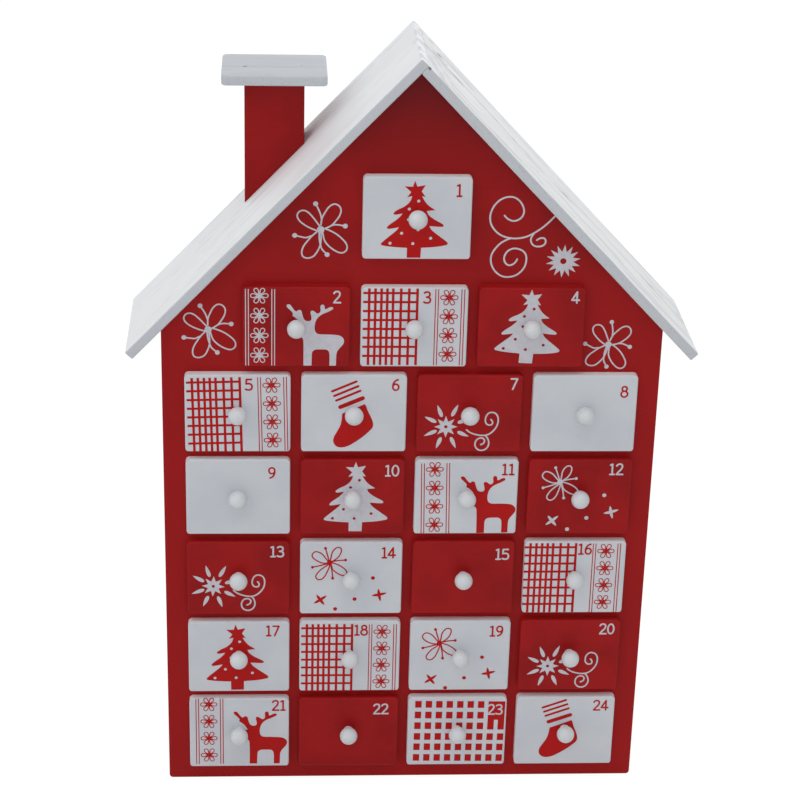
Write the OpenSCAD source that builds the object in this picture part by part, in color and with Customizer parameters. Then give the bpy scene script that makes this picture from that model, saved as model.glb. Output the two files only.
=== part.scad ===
// A house with a drawer for each day, glued up from thin boards.
// Millimetres, +Z up. The front is towards -Y.
// The origin is the centre of the base board's underside.

/* [Drawer fronts] */
// Width of one drawer front
front_w = 57; // [50:0.5:64]
// Height of one drawer front
front_h = 45.5; // [38:0.5:52]
// Thickness of a drawer front, all of it proud of the house front
front_t = 5; // [4:0.5:8]
// Radius of a drawer front's four corners, seen from the front
front_r = 2.4; // [1:0.1:5]
// Radius of the worn-soft edge round a drawer front's face
front_edge_r = 0.9; // [0.3:0.1:1.4]
// Gap between neighbouring fronts, side by side
gap_x = 5.8; // [4:0.1:10]
// Gap between neighbouring fronts, one above the other
gap_z = 5; // [3:0.1:9]

/* [House front] */
// Margin between the outer columns of fronts and the sides of the house
side_margin = 12.3; // [11:0.1:24]
// Margin below the lowest fronts
foot_margin = 10.5; // [6:0.5:20]
// Gap between the single top front and the row under it
attic_gap = 16; // [8:0.5:24]
// Height of the ridge above the top front
peak_room = 63.5; // [58:0.5:85]
// Thickness of the front panel
panel_t = 4; // [3:0.5:6]
// Radius of the front panel's two lower corners
panel_r = 2; // [0.5:0.5:5]
// How far a front laps over its cut-out at each side
lap_x = 2; // [1:0.1:3]
// How far a front laps over its cut-out above and below
lap_z = 1.5; // [1:0.1:3]

/* [Carcass] */
// Depth of the house from the front panel's face to the back
body_d = 71; // [60:1:90]
// Thickness of the walls and the roof boards
board_t = 5.5; // [4:0.5:8]
// Thickness of the back panel
back_t = 3; // [2:0.5:5]
// Thickness of the shelves under the drawers
shelf_t = 3; // [2:0.5:5]
// Thickness of the dividers between the drawers
divider_t = 3; // [2:0.5:5]

/* [Roof] */
// Slope of the roof, in degrees
roof_slope = 46.4; // [42:0.1:50]
// How far the roof reaches out past each wall, measured level
eave = 19; // [8:1:30]
// How far the roof stands out in front of the house front
roof_lip = 8; // [3:0.5:14]

/* [Drawer trays] */
// Thickness of a tray's sides, bottom and back
tray_t = 3; // [2:0.5:4]
// Free depth between a pushed-in tray and the back panel
rear_room = 6; // [3:1:12]
// Clearance at each side of a tray in its cut-out
tray_side_gap = 0.5; // [0.3:0.1:1]
// Clearance under a tray, above the shelf that it runs on
tray_foot_gap = 0.3; // [0.2:0.1:0.6]
// Clearance above a tray in its cut-out
tray_head_gap = 1.2; // [0.5:0.1:2]

/* [Knobs] */
// Diameter of a knob's ball
knob_d = 10; // [7:0.5:14]
// Diameter of the neck between the ball and the front
knob_neck_d = 5.5; // [4.5:0.5:6.5]
// Length of the neck that shows between the ball and the front
knob_neck_l = 1.2; // [0.8:0.1:3]
// Height of the knob above the middle of its front
knob_rise = 1.3; // [0:0.1:4]
// Diameter of the tenon that holds the knob in its front
tenon_d = 3.6; // [2:0.2:4]
// Length of the tenon
tenon_l = 3; // [2:0.5:3.5]

/* [Chimney] */
// Width of the chimney stack
stack_w = 32; // [24:1:40]
// Depth of the chimney stack, front to back
stack_d = 20; // [12:1:30]
// Distance of the stack's middle from the ridge line, to the left
stack_x = 74.6; // [60:0.2:90]
// Distance of the stack from the back of the house
stack_back = 7; // [2:1:20]
// How far the top of the stack lies below the ridge
stack_drop = 26.5; // [10:0.5:34]
// How far the cap reaches out past the stack, all round
cap_lap = 12; // [4:0.5:16]
// Thickness of the cap
cap_t = 5.5; // [4:0.5:8]
// Radius of the cap's corners, seen from above
cap_r = 3; // [1:0.5:8]

/* [Hidden] */
$fn = 64;
// Drawers in each row, from the top; the first two rows lie in the attic
row_counts = [1, 3, 4, 4, 4, 4, 4];
rows = len(row_counts);
attic_rows = 2;
columns = max(row_counts);
// Drawers with a red front; the others are white
red_fronts = [2, 4, 7, 10, 12, 13, 15, 20, 22];
// Glue line between two boards of one tray
glue = 0.1;
// Play of each halved joint between a shelf and a divider
halving_gap = 0.1;
// Play round a tenon, and below its end
tenon_gap = 0.05;
tenon_foot_gap = 0.5;
// Overrun of every cut past the face that it opens
cut = 1;

pitch_x = front_w + gap_x;
pitch_z = front_h + gap_z;
wall_w = columns * front_w + (columns - 1) * gap_x + 2 * side_margin;
face_y = -body_d / 2;
inner_y0 = face_y + panel_t;
inner_y1 = body_d / 2 - back_t;
halving_y = (inner_y0 + inner_y1) / 2;
base_t = foot_margin + lap_z;
cut_w = front_w - 2 * lap_x;
cut_h = front_h - 2 * lap_z;
tray_w = cut_w - 2 * tray_side_gap;
tray_h = cut_h - tray_foot_gap - tray_head_gap;
tray_back_y = inner_y1 - rear_room;
ridge_h = front_z(1) + front_h + peak_room;
// Height at which the undersides of the two roof boards meet
ridge_in = ridge_h - board_t / cos(roof_slope);
roof_len = (wall_w / 2 + eave) / cos(roof_slope);
stack_y0 = body_d / 2 - stack_back - stack_d;
stack_top = ridge_h - stack_drop;
knob_z = front_h / 2 + knob_rise;
knob_ball_y = knob_neck_l + knob_d / 2;

// Name with a number of two digits
function numbered(name, n) = str(name, n < 10 ? "0" : "", n);

// Drawers are counted from the top, and from left to right in each row
function last_drawer(row) = row == 0 ? 0 : row_counts[row - 1] + last_drawer(row - 1);
function row_of(n, row = 1) = n <= last_drawer(row) ? row : row_of(n, row + 1);
function column_of(n) = n - last_drawer(row_of(n) - 1) - 1;

// Height of the underside of a row's fronts
function front_z(row) = row == 1
    ? front_z(2) + front_h + attic_gap
    : foot_margin + (rows - row) * pitch_z;

// Height of the lower edge of a row's cut-outs, which is the top of the shelf behind it
function cut_z(row) = front_z(row) + lap_z;
function drawer_x(n) = (column_of(n) - (row_counts[row_of(n) - 1] - 1) / 2) * pitch_x;

// Heights of the roof's underside and of its top at a distance from the ridge line
function roof_under(x) = ridge_in - abs(x) * tan(roof_slope);
function roof_over(x) = ridge_h - abs(x) * tan(roof_slope);

// Planes between the columns of the grid, and beside the attic's drawers
function between(count) = [for (k = [1:count - 1]) (k - count / 2) * pitch_x];
grid_xs = between(columns);
attic_inner_xs = [-pitch_x / 2, pitch_x / 2];
attic_outer_xs = [-1, 1] * row_counts[1] / 2 * pitch_x;

// A profile drawn as x and z, given its depth from y0 to y1
module along_y(y0, y1) {
    translate([0, y1, 0]) rotate([90, 0, 0]) linear_extrude(y1 - y0) children();
}

module round_rect(w, h, r) {
    translate([r, 0]) square([w - 2 * r, h]);
    translate([0, r]) square([w, h - 2 * r]);
    for (x = [r, w - r], y = [r, h - r]) translate([x, y]) circle(r);
}

// Front of the house below the roof, with its two lower corners rounded by r
module house_outline(r = 0) {
    half = wall_w / 2;
    corner = r > 0 ? [for (a = [180:15:270]) [r + r * cos(a), r + r * sin(a)]] : [[0, 0]];
    steps = len(corner);
    polygon(concat(
        [for (p = corner) [p.x - half, p.y]],
        [for (k = [1:steps]) [half - corner[steps - k].x, corner[steps - k].y]],
        [[half, roof_under(half)], [0, ridge_in], [-half, roof_under(half)]]
    ));
}

module front_panel() {
    color("firebrick") along_y(face_y, inner_y0) difference() {
        house_outline(panel_r);
        for (n = [1:last_drawer(rows)])
            translate([drawer_x(n) - cut_w / 2, cut_z(row_of(n))]) square([cut_w, cut_h]);
    }
}

module back_panel() {
    color("burlywood") along_y(inner_y1, body_d / 2) house_outline();
}

// The left wall; the right one is its mirror image
module wall() {
    outer = -wall_w / 2;
    inner = outer + board_t;
    along_y(inner_y0, inner_y1)
        polygon([[outer, 0], [inner, 0], [inner, roof_under(inner)], [outer, roof_under(outer)]]);
}

module left_wall() {
    color("firebrick") wall();
}

module right_wall() {
    color("firebrick") mirror([1, 0, 0]) wall();
}

module base_board() {
    inner_w = wall_w - 2 * board_t;
    color("burlywood") translate([-inner_w / 2, inner_y0, 0])
        cube([inner_w, inner_y1 - inner_y0, base_t]);
}

// A level board under a row, trimmed to the walls and the roof, with slots at xs from behind
module shelf(row, xs) {
    inner_w = wall_w - 2 * board_t;
    intersection() {
        along_y(inner_y0, inner_y1) house_outline();
        difference() {
            translate([-inner_w / 2, inner_y0, cut_z(row) - shelf_t])
                cube([inner_w, inner_y1 - inner_y0, shelf_t]);
            for (x = xs)
                translate([x - divider_t / 2 - halving_gap, halving_y - halving_gap,
                           cut_z(row) - shelf_t - cut])
                    cube([divider_t + 2 * halving_gap, inner_y1 - halving_y + halving_gap + cut,
                          shelf_t + 2 * cut]);
        }
    }
}

// An upright board from z0 to z1 at x, trimmed to the roof, with slots for rows' shelves in front
module divider(x, z0, z1, slot_rows) {
    intersection() {
        along_y(inner_y0, inner_y1) house_outline();
        difference() {
            translate([x - divider_t / 2, inner_y0, z0])
                cube([divider_t, inner_y1 - inner_y0, z1 - z0]);
            for (row = slot_rows)
                translate([x - divider_t / 2 - cut, inner_y0 - cut,
                           cut_z(row) - shelf_t - halving_gap])
                    cube([divider_t + 2 * cut, halving_y + halving_gap - inner_y0 + cut,
                          shelf_t + 2 * halving_gap]);
        }
    }
}

module shelves() {
    color("burlywood") {
        shelf(1, attic_inner_xs);
        shelf(attic_rows, []);
        for (row = [attic_rows + 1:rows - 1]) shelf(row, grid_xs);
    }
}

module grid_dividers() {
    color("tan") for (x = grid_xs)
        divider(x, base_t, cut_z(attic_rows) - shelf_t, [attic_rows + 1:rows - 1]);
}

module attic_dividers() {
    color("tan") {
        for (x = attic_inner_xs) divider(x, cut_z(attic_rows), ridge_h, [1]);
        for (x = attic_outer_xs) divider(x, cut_z(attic_rows), cut_z(1) - shelf_t, []);
    }
}

// The left board runs up to the ridge with a square end
module left_roof_board() {
    color("white") along_y(face_y - roof_lip, body_d / 2)
        translate([0, ridge_h]) rotate(180 + roof_slope) square([roof_len, board_t]);
}

// The right board butts against the underside of the left one
module right_roof_board() {
    s = roof_slope;
    tip = [roof_len * cos(s), ridge_h - roof_len * sin(s)];
    color("white") along_y(face_y - roof_lip, body_d / 2) polygon([
        [board_t / sin(s) / 2, ridge_h - board_t / cos(s) / 2],
        tip,
        tip - board_t * [sin(s), cos(s)],
        [0, ridge_in]
    ]);
}

module chimney_stack() {
    x0 = -stack_x - stack_w / 2;
    x1 = -stack_x + stack_w / 2;
    color("firebrick") along_y(stack_y0, stack_y0 + stack_d)
        polygon([[x0, roof_over(x0)], [x1, roof_over(x1)], [x1, stack_top], [x0, stack_top]]);
}

module chimney_cap() {
    color("white")
        translate([-stack_x - stack_w / 2 - cap_lap, stack_y0 - cap_lap, stack_top])
            linear_extrude(cap_t)
                round_rect(stack_w + 2 * cap_lap, stack_d + 2 * cap_lap, cap_r);
}

// A bar's profile with both corners of its lower edge rounded
module soft_profile(w, d, r) {
    translate([0, r]) square([w, d - r]);
    translate([r, 0]) square([w - 2 * r, d]);
    for (x = [r, w - r]) translate([x, r]) circle(r);
}

// A drawer front at the origin: lower left corner of its face, the bore for its knob in the middle
module front_plate() {
    difference() {
        intersection() {
            along_y(0, front_t) round_rect(front_w, front_h, front_r);
            linear_extrude(front_h) soft_profile(front_w, front_t, front_edge_r);
            rotate([90, 0, 90]) linear_extrude(front_w) rotate(-90) mirror([1, 0])
                soft_profile(front_h, front_t, front_edge_r);
        }
        translate([front_w / 2, -cut, knob_z]) rotate([-90, 0, 0])
            cylinder(h = cut + tenon_l + tenon_foot_gap, r = tenon_d / 2 + tenon_gap);
    }
}

// A tray behind its front at the origin: two sides, a bottom and a back
module tray() {
    y0 = front_t + glue;
    y1 = front_t + tray_back_y - face_y;
    x0 = (front_w - tray_w) / 2;
    z0 = lap_z + tray_foot_gap;
    inner_x = x0 + tray_t + glue;
    inner_w = tray_w - 2 * (tray_t + glue);
    for (x = [x0, x0 + tray_w - tray_t]) translate([x, y0, z0]) cube([tray_t, y1 - y0, tray_h]);
    translate([inner_x, y0, z0]) cube([inner_w, y1 - y0 - tray_t - glue, tray_t]);
    translate([inner_x, y1 - tray_t, z0]) cube([inner_w, tray_t, tray_h]);
}

// Moves a drawer's parts from the origin to their place in the house front
module in_place(n) {
    translate([drawer_x(n) - front_w / 2, face_y - front_t, front_z(row_of(n))]) children();
}

module drawer(n) {
    in_place(n) {
        color(len(search(n, red_fronts)) > 0 ? "firebrick" : "white") front_plate();
        color("burlywood") tray();
    }
}

module knob(n) {
    color("ivory") in_place(n) translate([front_w / 2, 0, knob_z]) rotate([90, 0, 0]) {
        translate([0, 0, knob_ball_y]) sphere(d = knob_d);
        cylinder(h = knob_ball_y, d = knob_neck_d);
        translate([0, 0, -tenon_l]) cylinder(h = tenon_l + knob_neck_l, d = tenon_d);
    }
}

front_panel();
back_panel();
left_wall();
right_wall();
base_board();
shelves();
grid_dividers();
attic_dividers();
left_roof_board();
right_roof_board();
chimney_stack();
chimney_cap();
for (n = [1:last_drawer(rows)]) {
    drawer(n);
    knob(n);
}
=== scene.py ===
# House-shaped advent calendar: paint, grain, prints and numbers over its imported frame
import math

import bpy
from mathutils import Matrix, Vector


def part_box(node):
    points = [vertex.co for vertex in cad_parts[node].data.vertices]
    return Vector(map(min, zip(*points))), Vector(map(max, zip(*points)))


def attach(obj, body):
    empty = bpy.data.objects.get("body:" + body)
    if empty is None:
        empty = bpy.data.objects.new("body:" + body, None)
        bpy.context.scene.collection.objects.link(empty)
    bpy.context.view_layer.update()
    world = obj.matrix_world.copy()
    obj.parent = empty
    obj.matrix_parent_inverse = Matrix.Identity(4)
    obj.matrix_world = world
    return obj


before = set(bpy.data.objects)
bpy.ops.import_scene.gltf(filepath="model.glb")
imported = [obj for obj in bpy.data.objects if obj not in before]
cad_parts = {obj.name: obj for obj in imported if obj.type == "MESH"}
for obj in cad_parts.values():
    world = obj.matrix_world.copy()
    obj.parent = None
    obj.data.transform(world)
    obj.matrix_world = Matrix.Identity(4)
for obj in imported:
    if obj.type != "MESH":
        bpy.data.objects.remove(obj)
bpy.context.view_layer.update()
mm = 0.001
scene = bpy.context.scene
print("frame loaded:", len(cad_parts), "nodes")

# View and picture
cameraLook = {
    "place": (-75.8, -1148.3, 735.1),   # mm
    "turn": 3.578,      # degrees to the right of straight on
    "tilt": -23.891,    # degrees, looking down
    "roll": 1.524,
    "lens": 100.96,     # mm
    "sensor": 36,       # mm wide
    "sight": (0.05, 50),        # nearest and farthest that it sees, metres
}


def makeCamera(look):
    bpy.ops.object.camera_add()
    camera = bpy.context.object
    camera.name = "photoCamera"
    camera.data.lens = look["lens"]
    camera.data.sensor_width = look["sensor"]
    camera.data.clip_start, camera.data.clip_end = look["sight"]
    turn = Matrix.Rotation(-math.radians(look["turn"]), 4, "Z")
    tilt = Matrix.Rotation(math.radians(90 + look["tilt"]), 4, "X")
    roll = Matrix.Rotation(math.radians(look["roll"]), 4, "Z")
    camera.matrix_world = Matrix.Translation(Vector(look["place"]) * mm) @ turn @ tilt @ roll
    scene.camera = camera


makeCamera(cameraLook)
scene.view_settings.view_transform = "Standard"
print("camera set")


# Shader sums are written as plain expressions on these
class Wire:
    def __init__(self, finish, socket):
        self.finish = finish
        self.socket = socket

    def work(self, operation, first, second):
        return self.finish.node("Math", {"operation": operation}, {"Value": first, "Value_001": second})

    def __add__(self, other):
        return self.work("ADD", self, other)

    def __sub__(self, other):
        return self.work("SUBTRACT", self, other)

    def __rsub__(self, other):
        return self.work("SUBTRACT", other, self)

    def __mul__(self, other):
        return self.work("MULTIPLY", self, other)

    def __abs__(self):
        return self.finish.node("Math", {"operation": "ABSOLUTE"}, {"Value": self})

    __radd__ = __add__
    __rmul__ = __mul__


# Nodes of a material, or of the world
class Finish:
    def __init__(self, owner, shader="Principled BSDF"):
        owner.use_nodes = True
        self.owner = owner
        self.tree = owner.node_tree
        self.shader = self.tree.nodes[shader]

    def fix(self, socket, value):       # a value that is the same all over
        self.shader.inputs[socket].default_value = value

    def feed(self, socket, wire):       # one that changes over the surface
        self.tree.links.new(wire.socket, self.shader.inputs[socket])

    # Any node: its settings are set first, then the values or wires of its sockets
    def node(self, kind, settings, inputs, output=0):
        made = self.tree.nodes.new("ShaderNode" + kind)
        for name, value in settings.items():
            if name == "stops":
                ends = made.color_ramp.elements
                for element, (place, colour) in zip((ends[0], ends[-1]), (value[0], value[-1])):
                    element.position = place
                    element.color = colour
                for place, colour in value[1:-1]:
                    ends.new(place).color = colour
            else:
                setattr(made, name, value)
        sockets = {socket.identifier: socket for socket in made.inputs}
        for name, value in inputs.items():
            if isinstance(value, Wire):
                self.tree.links.new(value.socket, sockets[name])
            else:
                sockets[name].default_value = value
        return Wire(self, made.outputs[output])

    # Place on the object in millimetres, measured from the middle of the house's foot
    def place(self):
        metres = self.node("TexCoord", {}, {}, "Object")
        return self.node("Mapping", {}, {"Vector": metres, "Scale": (1000, 1000, 1000)})

    def axis(self, place, letter):
        return self.node("SeparateXYZ", {}, {"Vector": place}, letter)

    # Noise drawn out along a grain, which lies along X turned as said; length and breadth in mm
    def grain(self, place, lie, along, across, detail=3.0, kink=0.3):
        laid = self.node("Mapping", {"vector_type": "TEXTURE"}, {
            "Vector": place, "Rotation": lie, "Scale": (along, across, across)})
        return self.node("TexNoise", {}, {
            "Vector": laid, "Scale": 1.0, "Detail": detail, "Roughness": 0.6, "Distortion": kink})

    def noise(self, place, size, detail=2.0):
        return self.node("TexNoise", {}, {
            "Vector": place, "Scale": 1.0 / size, "Detail": detail, "Roughness": 0.55})

    # 0 below one value, 1 above the other, smooth between
    def ramp(self, value, low, high):
        return self.node("MapRange", {"interpolation_type": "SMOOTHSTEP"}, {
            "Value": value, "From Min": low, "From Max": high})

    def mix(self, factor, first, second):
        return self.node("Mix", {"data_type": "RGBA"}, {
            "Factor_Float": factor, "A_Color": first, "B_Color": second}, 2)        # its colour output

    def bump(self, height, depth):
        return self.node("Bump", {}, {"Height": height, "Strength": 1.0, "Distance": depth * mm})


def colour(red, green, blue):           # from the 0 to 255 of a screen
    def linear(part):
        part = part / 255
        return part / 12.92 if part <= 0.04045 else ((part + 0.055) / 1.055) ** 2.4
    return (linear(red), linear(green), linear(blue), 1.0)


slope = math.radians(46.4)      # of both roof boards
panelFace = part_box("front_panel")[0].y / mm
frontFace = min(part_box("drawer_01")[0].y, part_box("drawer_24")[0].y) / mm
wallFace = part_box("right_wall")[1].x / mm
alongX = (0, 0, 0)
alongY = (0, 0, math.pi / 2)
alongZ = (0, math.pi / 2, 0)
aslant = (0, 0.35, 0)


# Light plywood: colour and height of its face, with the grain lying as said. In this and the next
# looks, a grain is a length, a breadth, a detail and a kink, a noise is a size and a detail, and
# a pair under 1 says from which value of the pattern to which its mark sets in
bareWoodLook = {
    "pale": colour(226, 199, 158),
    "streak": colour(196, 158, 112),
    "pore": colour(160, 120, 80),
    "streaks": (60, 2.2, 4),
    "pores": (14, 0.35, 2),
    "broad": (220, 12, 2, 0.8),
    "streaked": (0.36, 0.66),
    "porous": (0.60, 0.78),
    "depth": 0.04,
    "roughness": 0.72,
}


def woodSurface(finish, place, lie, look=bareWoodLook):
    streaks = finish.grain(place, lie, *look["streaks"])
    pores = finish.grain(place, lie, *look["pores"])
    broad = finish.grain(place, lie, *look["broad"])
    streaked = finish.ramp(streaks * 0.6 + broad * 0.4, *look["streaked"])
    tint = finish.mix(streaked, look["pale"], look["streak"])
    tint = finish.mix(finish.ramp(pores, *look["porous"]) * 0.55, tint, look["pore"])
    return tint, streaks * 0.7 + pores * 0.3


def makeBareWood(name, lie, look=bareWoodLook):
    finish = Finish(bpy.data.materials.new(name))
    tint, height = woodSurface(finish, finish.place(), lie, look)
    finish.feed("Base Color", tint)
    finish.feed("Roughness", look["roughness"] + (height - 0.5) * 0.15)
    finish.feed("Normal", finish.bump(height, look["depth"]))
    return finish.owner


# Red paint of the house: brushed on, a little uneven, bare wood on the inside, with painted light low down
# and painted shade towards the apex under the roof
houseRedLook = {
    "paint": colour(156, 20, 22),
    "thin": colour(142, 16, 19),
    # The low tone is painted light over the lower house, the high one painted shade towards the apex, under
    # the roof
    "low": colour(168, 23, 25),
    "high": colour(104, 17, 22),
    "paintedLightToShade": (290, 350, 372, 424),     # mm up: from the low tone, painted light, to the paint, then to the high one, painted shade
    "drift": 24,            # mm that the painted light and shade wander up and down
    "scuff": colour(168, 58, 56),
    "brush": (70, 1.6, 3),
    "patches": (45, 3),
    "uneven": (0.36, 0.64),
    "scratches": (26, 0.5, 2, 1.2),
    "scratched": (0.735, 0.77),
    "roller": (1.1, 2),
    "gloss": 0.13,
    "roughness": 0.46,
    "depth": 0.03,
    "overspray": 1.2,       # how far the paint reaches into a cut-out
}


def makeHouseRed(name, hollow, look=houseRedLook):      # hollow is 1 for the house, 0 for the stack, which then has no bare inside and no painted shade at the top
    finish = Finish(bpy.data.materials.new(name))
    finish.fix("Specular IOR Level", look["gloss"])
    place = finish.place()
    across = finish.grain(place, alongX, *look["brush"])
    patches = finish.noise(place, *look["patches"])
    brushed = finish.ramp(across * 0.15 + patches * 0.85, *look["uneven"])
    paint = finish.mix(brushed, look["thin"], look["paint"])
    # Painted light low down and painted shade high up, their heights wandering with the patches
    height = finish.axis(place, "Z") + (patches - 0.5) * look["drift"]
    low, paintFrom, paintTo, high = look["paintedLightToShade"]
    paint = finish.mix(finish.ramp(height, low, paintFrom) * 0.5 + 0.5, look["low"], paint)
    paint = finish.mix(finish.ramp(height, paintTo, high) * 0.85 * hollow, paint, look["high"])
    scratches = finish.ramp(finish.grain(place, aslant, *look["scratches"]), *look["scratched"])
    paint = finish.mix(scratches * 0.35, paint, look["scuff"])
    tint = woodSurface(finish, place, alongZ)[0]
    inside = 1 - finish.ramp(abs(finish.axis(place, "X")), wallFace - 0.6, wallFace - 0.2)
    depth = finish.axis(place, "Y") + (patches - 0.5) * look["overspray"]
    bare = finish.ramp(depth, panelFace + 0.3 * look["overspray"], panelFace + 1.3 * look["overspray"])
    bare = bare * inside * hollow
    finish.feed("Base Color", finish.mix(bare, paint, tint))
    finish.feed("Roughness", look["roughness"] + (patches - 0.5) * 0.16 + bare * 0.25)
    rolled = finish.noise(place, *look["roller"])
    finish.feed("Normal", finish.bump(across * 0.25 + rolled * 0.6 + scratches * -0.5, look["depth"]))
    return finish.owner


# White paint of the roof boards and the cap: thin, so the marks of the wood show. A mark is its
# middle in millimetres from the middle of the house's foot, and its radius
leftRoofLook = {
    # This board's paint is lighter than the right board's, as painted light
    "paint": colour(242, 244, 247),
    "thin": colour(236, 238, 241),
    "edge": colour(199, 204, 210),      # of the sawn edge in front, darker than the top as painted shade
    "grey": colour(180, 180, 194),
    "grain": (120, 1.5, 4, 0.6),
    "clouds": (90, 14, 3, 1.0),
    "uneven": (0.36, 0.62),
    "lines": 0.06,                      # share of fine grain in the unevenness
    "streaks": 0.30,                    # how much the streaks grey the paint, and then the veins
    "streakGrain": (34, 4.2, 5, 0.9),
    "streaked": (0.66, 0.80),
    "veins": 0.35,
    "veinGrain": (200, 15, 2, 0.8),
    "veinHalf": (0.003, 0.014),
    "veinPatches": 24,                  # mm, as are the crack's
    "patchy": (0.42, 0.60),
    "ridge": (-0.6, 40, 0.5),           # blotched from here to here across the ridge, and how much
    "blotches": (8, 3),
    "specks": (0.9, 3),
    "speckled": (0.54, 0.66),
    "crack": None,                      # place, wander and half width in Y, and how dark
    "crackGrain": (60, 20, 4),
    "crackPatches": 16,
    "cracked": (0.4, 0.6),
    "mark": colour(70, 66, 68),
    "marks": (((4.2, -43.5, 428.9), 1.4),),
    "roughness": 0.5,
    "depth": 0.05,
}
rightRoofLook = dict(
    leftRoofLook, paint=colour(232, 233, 235), thin=colour(220, 223, 226), grey=colour(152, 156, 165),
    streaks=0.40, streakGrain=(75, 5.5, 5, 0.9), streaked=(0.50, 0.62), veins=0.6,
    ridge=(-5, 14, 0.35), lines=0.3, depth=0.2, crack=(2, 22, 1.6, 0.8),
    marks=(((12.7, 13.5, 420.2), 2.4), ((16.5, 8.0, 416.3), 1.3), ((4.2, -43.5, 428.9), 1.4)))
capLook = dict(
    leftRoofLook, paint=colour(194, 198, 203), thin=colour(187, 192, 198), edge=colour(195, 200, 205),
    grey=colour(150, 152, 155), streaks=0.25, streaked=(0.64, 0.80), veins=0.2, ridge=(40, 60, 0),
    crack=(14.8, 3, 0.8, 0.8), mark=colour(120, 119, 120),
    marks=(((-90.3, 15.2, 412.5), 1.6), ((-48.6, -13.5, 412.3), 2.2)))


def makeRoofWhite(node, lie, look):
    finish = Finish(bpy.data.materials.new(node + "White"))
    place = finish.place()
    lines = finish.grain(place, lie, *look["grain"])
    clouds = finish.grain(place, lie, *look["clouds"])
    brushed = finish.ramp(lines * look["lines"] + clouds * (1 - look["lines"]), *look["uneven"])
    paint = finish.mix(brushed, look["thin"], look["paint"])
    left, right, blotched = look["ridge"]
    across = finish.axis(place, "X")
    ridge = finish.ramp(across, left - 0.5, left + 0.5) * (1 - finish.ramp(across, right, right + 6))
    streaks = finish.ramp(finish.grain(place, lie, *look["streakGrain"]), *look["streaked"])
    streaks = streaks * (1 - ridge)
    paint = finish.mix(streaks * look["streaks"], paint, look["grey"])
    veins = 1 - finish.ramp(abs(finish.grain(place, lie, *look["veinGrain"]) - 0.5), *look["veinHalf"])
    veins = veins * finish.ramp(finish.noise(place, look["veinPatches"]), *look["patchy"]) * (1 - ridge)
    paint = finish.mix(veins * look["veins"], paint, look["grey"])
    blotches = finish.ramp(finish.noise(place, *look["blotches"]), *look["patchy"])
    paint = finish.mix(ridge * blotches * blotched, paint, look["grey"])
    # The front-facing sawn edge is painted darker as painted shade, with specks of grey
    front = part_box(node)[0].y / mm
    edge = 1 - finish.ramp(finish.axis(place, "Y"), front + 0.1, front + 0.6)
    specks = finish.ramp(finish.noise(place, *look["specks"]), *look["speckled"])
    paintedEdgeShade = finish.mix(specks * 0.25, look["edge"], look["grey"])
    paint = finish.mix(edge, paint, paintedEdgeShade)
    hurt = 0
    if look["crack"]:
        middle, wander, half, dark = look["crack"]
        wobble = (finish.grain(place, lie, *look["crackGrain"]) - 0.5) * wander
        line = abs(finish.axis(place, "Y") + wobble - middle)
        gape = (finish.ramp(finish.noise(place, look["crackPatches"]), *look["cracked"]) + 0.8) * 0.55
        hurt = (1 - finish.ramp(line, 0.2 * half, half)) * gape * dark
        paint = finish.mix(hurt, paint, look["grey"])
    for centre, radius in look["marks"]:
        ends = {"Vector": place, "Vector_001": centre}
        reach = finish.node("VectorMath", {"operation": "DISTANCE"}, ends, "Value")
        spot = 1 - finish.ramp(reach + (lines - 0.5) * radius, 0.45 * radius, radius)
        paint = finish.mix(spot * 0.9, paint, look["mark"])
        hurt = spot + hurt
    finish.feed("Base Color", paint)
    finish.feed("Roughness", look["roughness"] + (clouds - 0.5) * 0.2)
    finish.feed("Normal", finish.bump(lines * 0.5 - streaks * 0.3 - veins * 0.6 - hurt, look["depth"]))
    return finish.owner


# Paint of a drawer's front, with painted light on its narrow sides and its plywood tray left bare behind
redFrontLook = {
    "paint": colour(162, 22, 24),
    "thin": colour(146, 18, 21),
    "edge": colour(168, 26, 28),        # of its narrow sides, lighter than its face as painted light
    "worn": colour(172, 76, 72),
    "brush": (40, 1.1, 3),
    "patches": (32, 3),
    "uneven": (0.36, 0.62),
    "scuffs": (4.5, 5),
    "scuffed": (0.70, 0.74),
    "roller": (0.9, 2),
    "gloss": 0.13,
    "roughness": 0.44,
    "depth": 0.025,
}
whiteFrontLook = dict(
    redFrontLook, paint=colour(209, 213, 219), thin=colour(203, 208, 215), edge=colour(236, 237, 240),
    worn=colour(168, 165, 163), gloss=0.4, roughness=0.42, depth=0.02)


def makeFrontPaint(name, look):
    finish = Finish(bpy.data.materials.new(name))
    finish.fix("Specular IOR Level", look["gloss"])
    place = finish.place()
    across = finish.grain(place, alongX, *look["brush"])
    patches = finish.noise(place, *look["patches"])
    brushed = finish.ramp(across * 0.1 + patches * 0.9, *look["uneven"])
    paint = finish.mix(brushed, look["thin"], look["paint"])
    # Its narrow sides, the top edge most of all, are painted lighter than the face: painted light
    side = finish.ramp(finish.axis(place, "Y"), frontFace + 0.3, frontFace + 0.9)
    paint = finish.mix(side, paint, look["edge"])
    scuffs = finish.ramp(finish.noise(place, *look["scuffs"]), *look["scuffed"])
    paint = finish.mix(scuffs * 0.4, paint, look["worn"])
    tint, height = woodSurface(finish, place, alongY)
    bare = finish.ramp(finish.axis(place, "Y"), panelFace - 0.08, panelFace + 0.02)
    finish.feed("Base Color", finish.mix(bare, paint, tint))
    finish.feed("Roughness", look["roughness"] + (patches - 0.5) * 0.12 + bare * 0.28)
    rolled = finish.noise(place, *look["roller"])
    surface = (across * 0.15 + rolled * 0.6) * (1 - bare) + height * bare * 1.6
    finish.feed("Normal", finish.bump(surface, look["depth"]))
    return finish.owner


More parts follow.
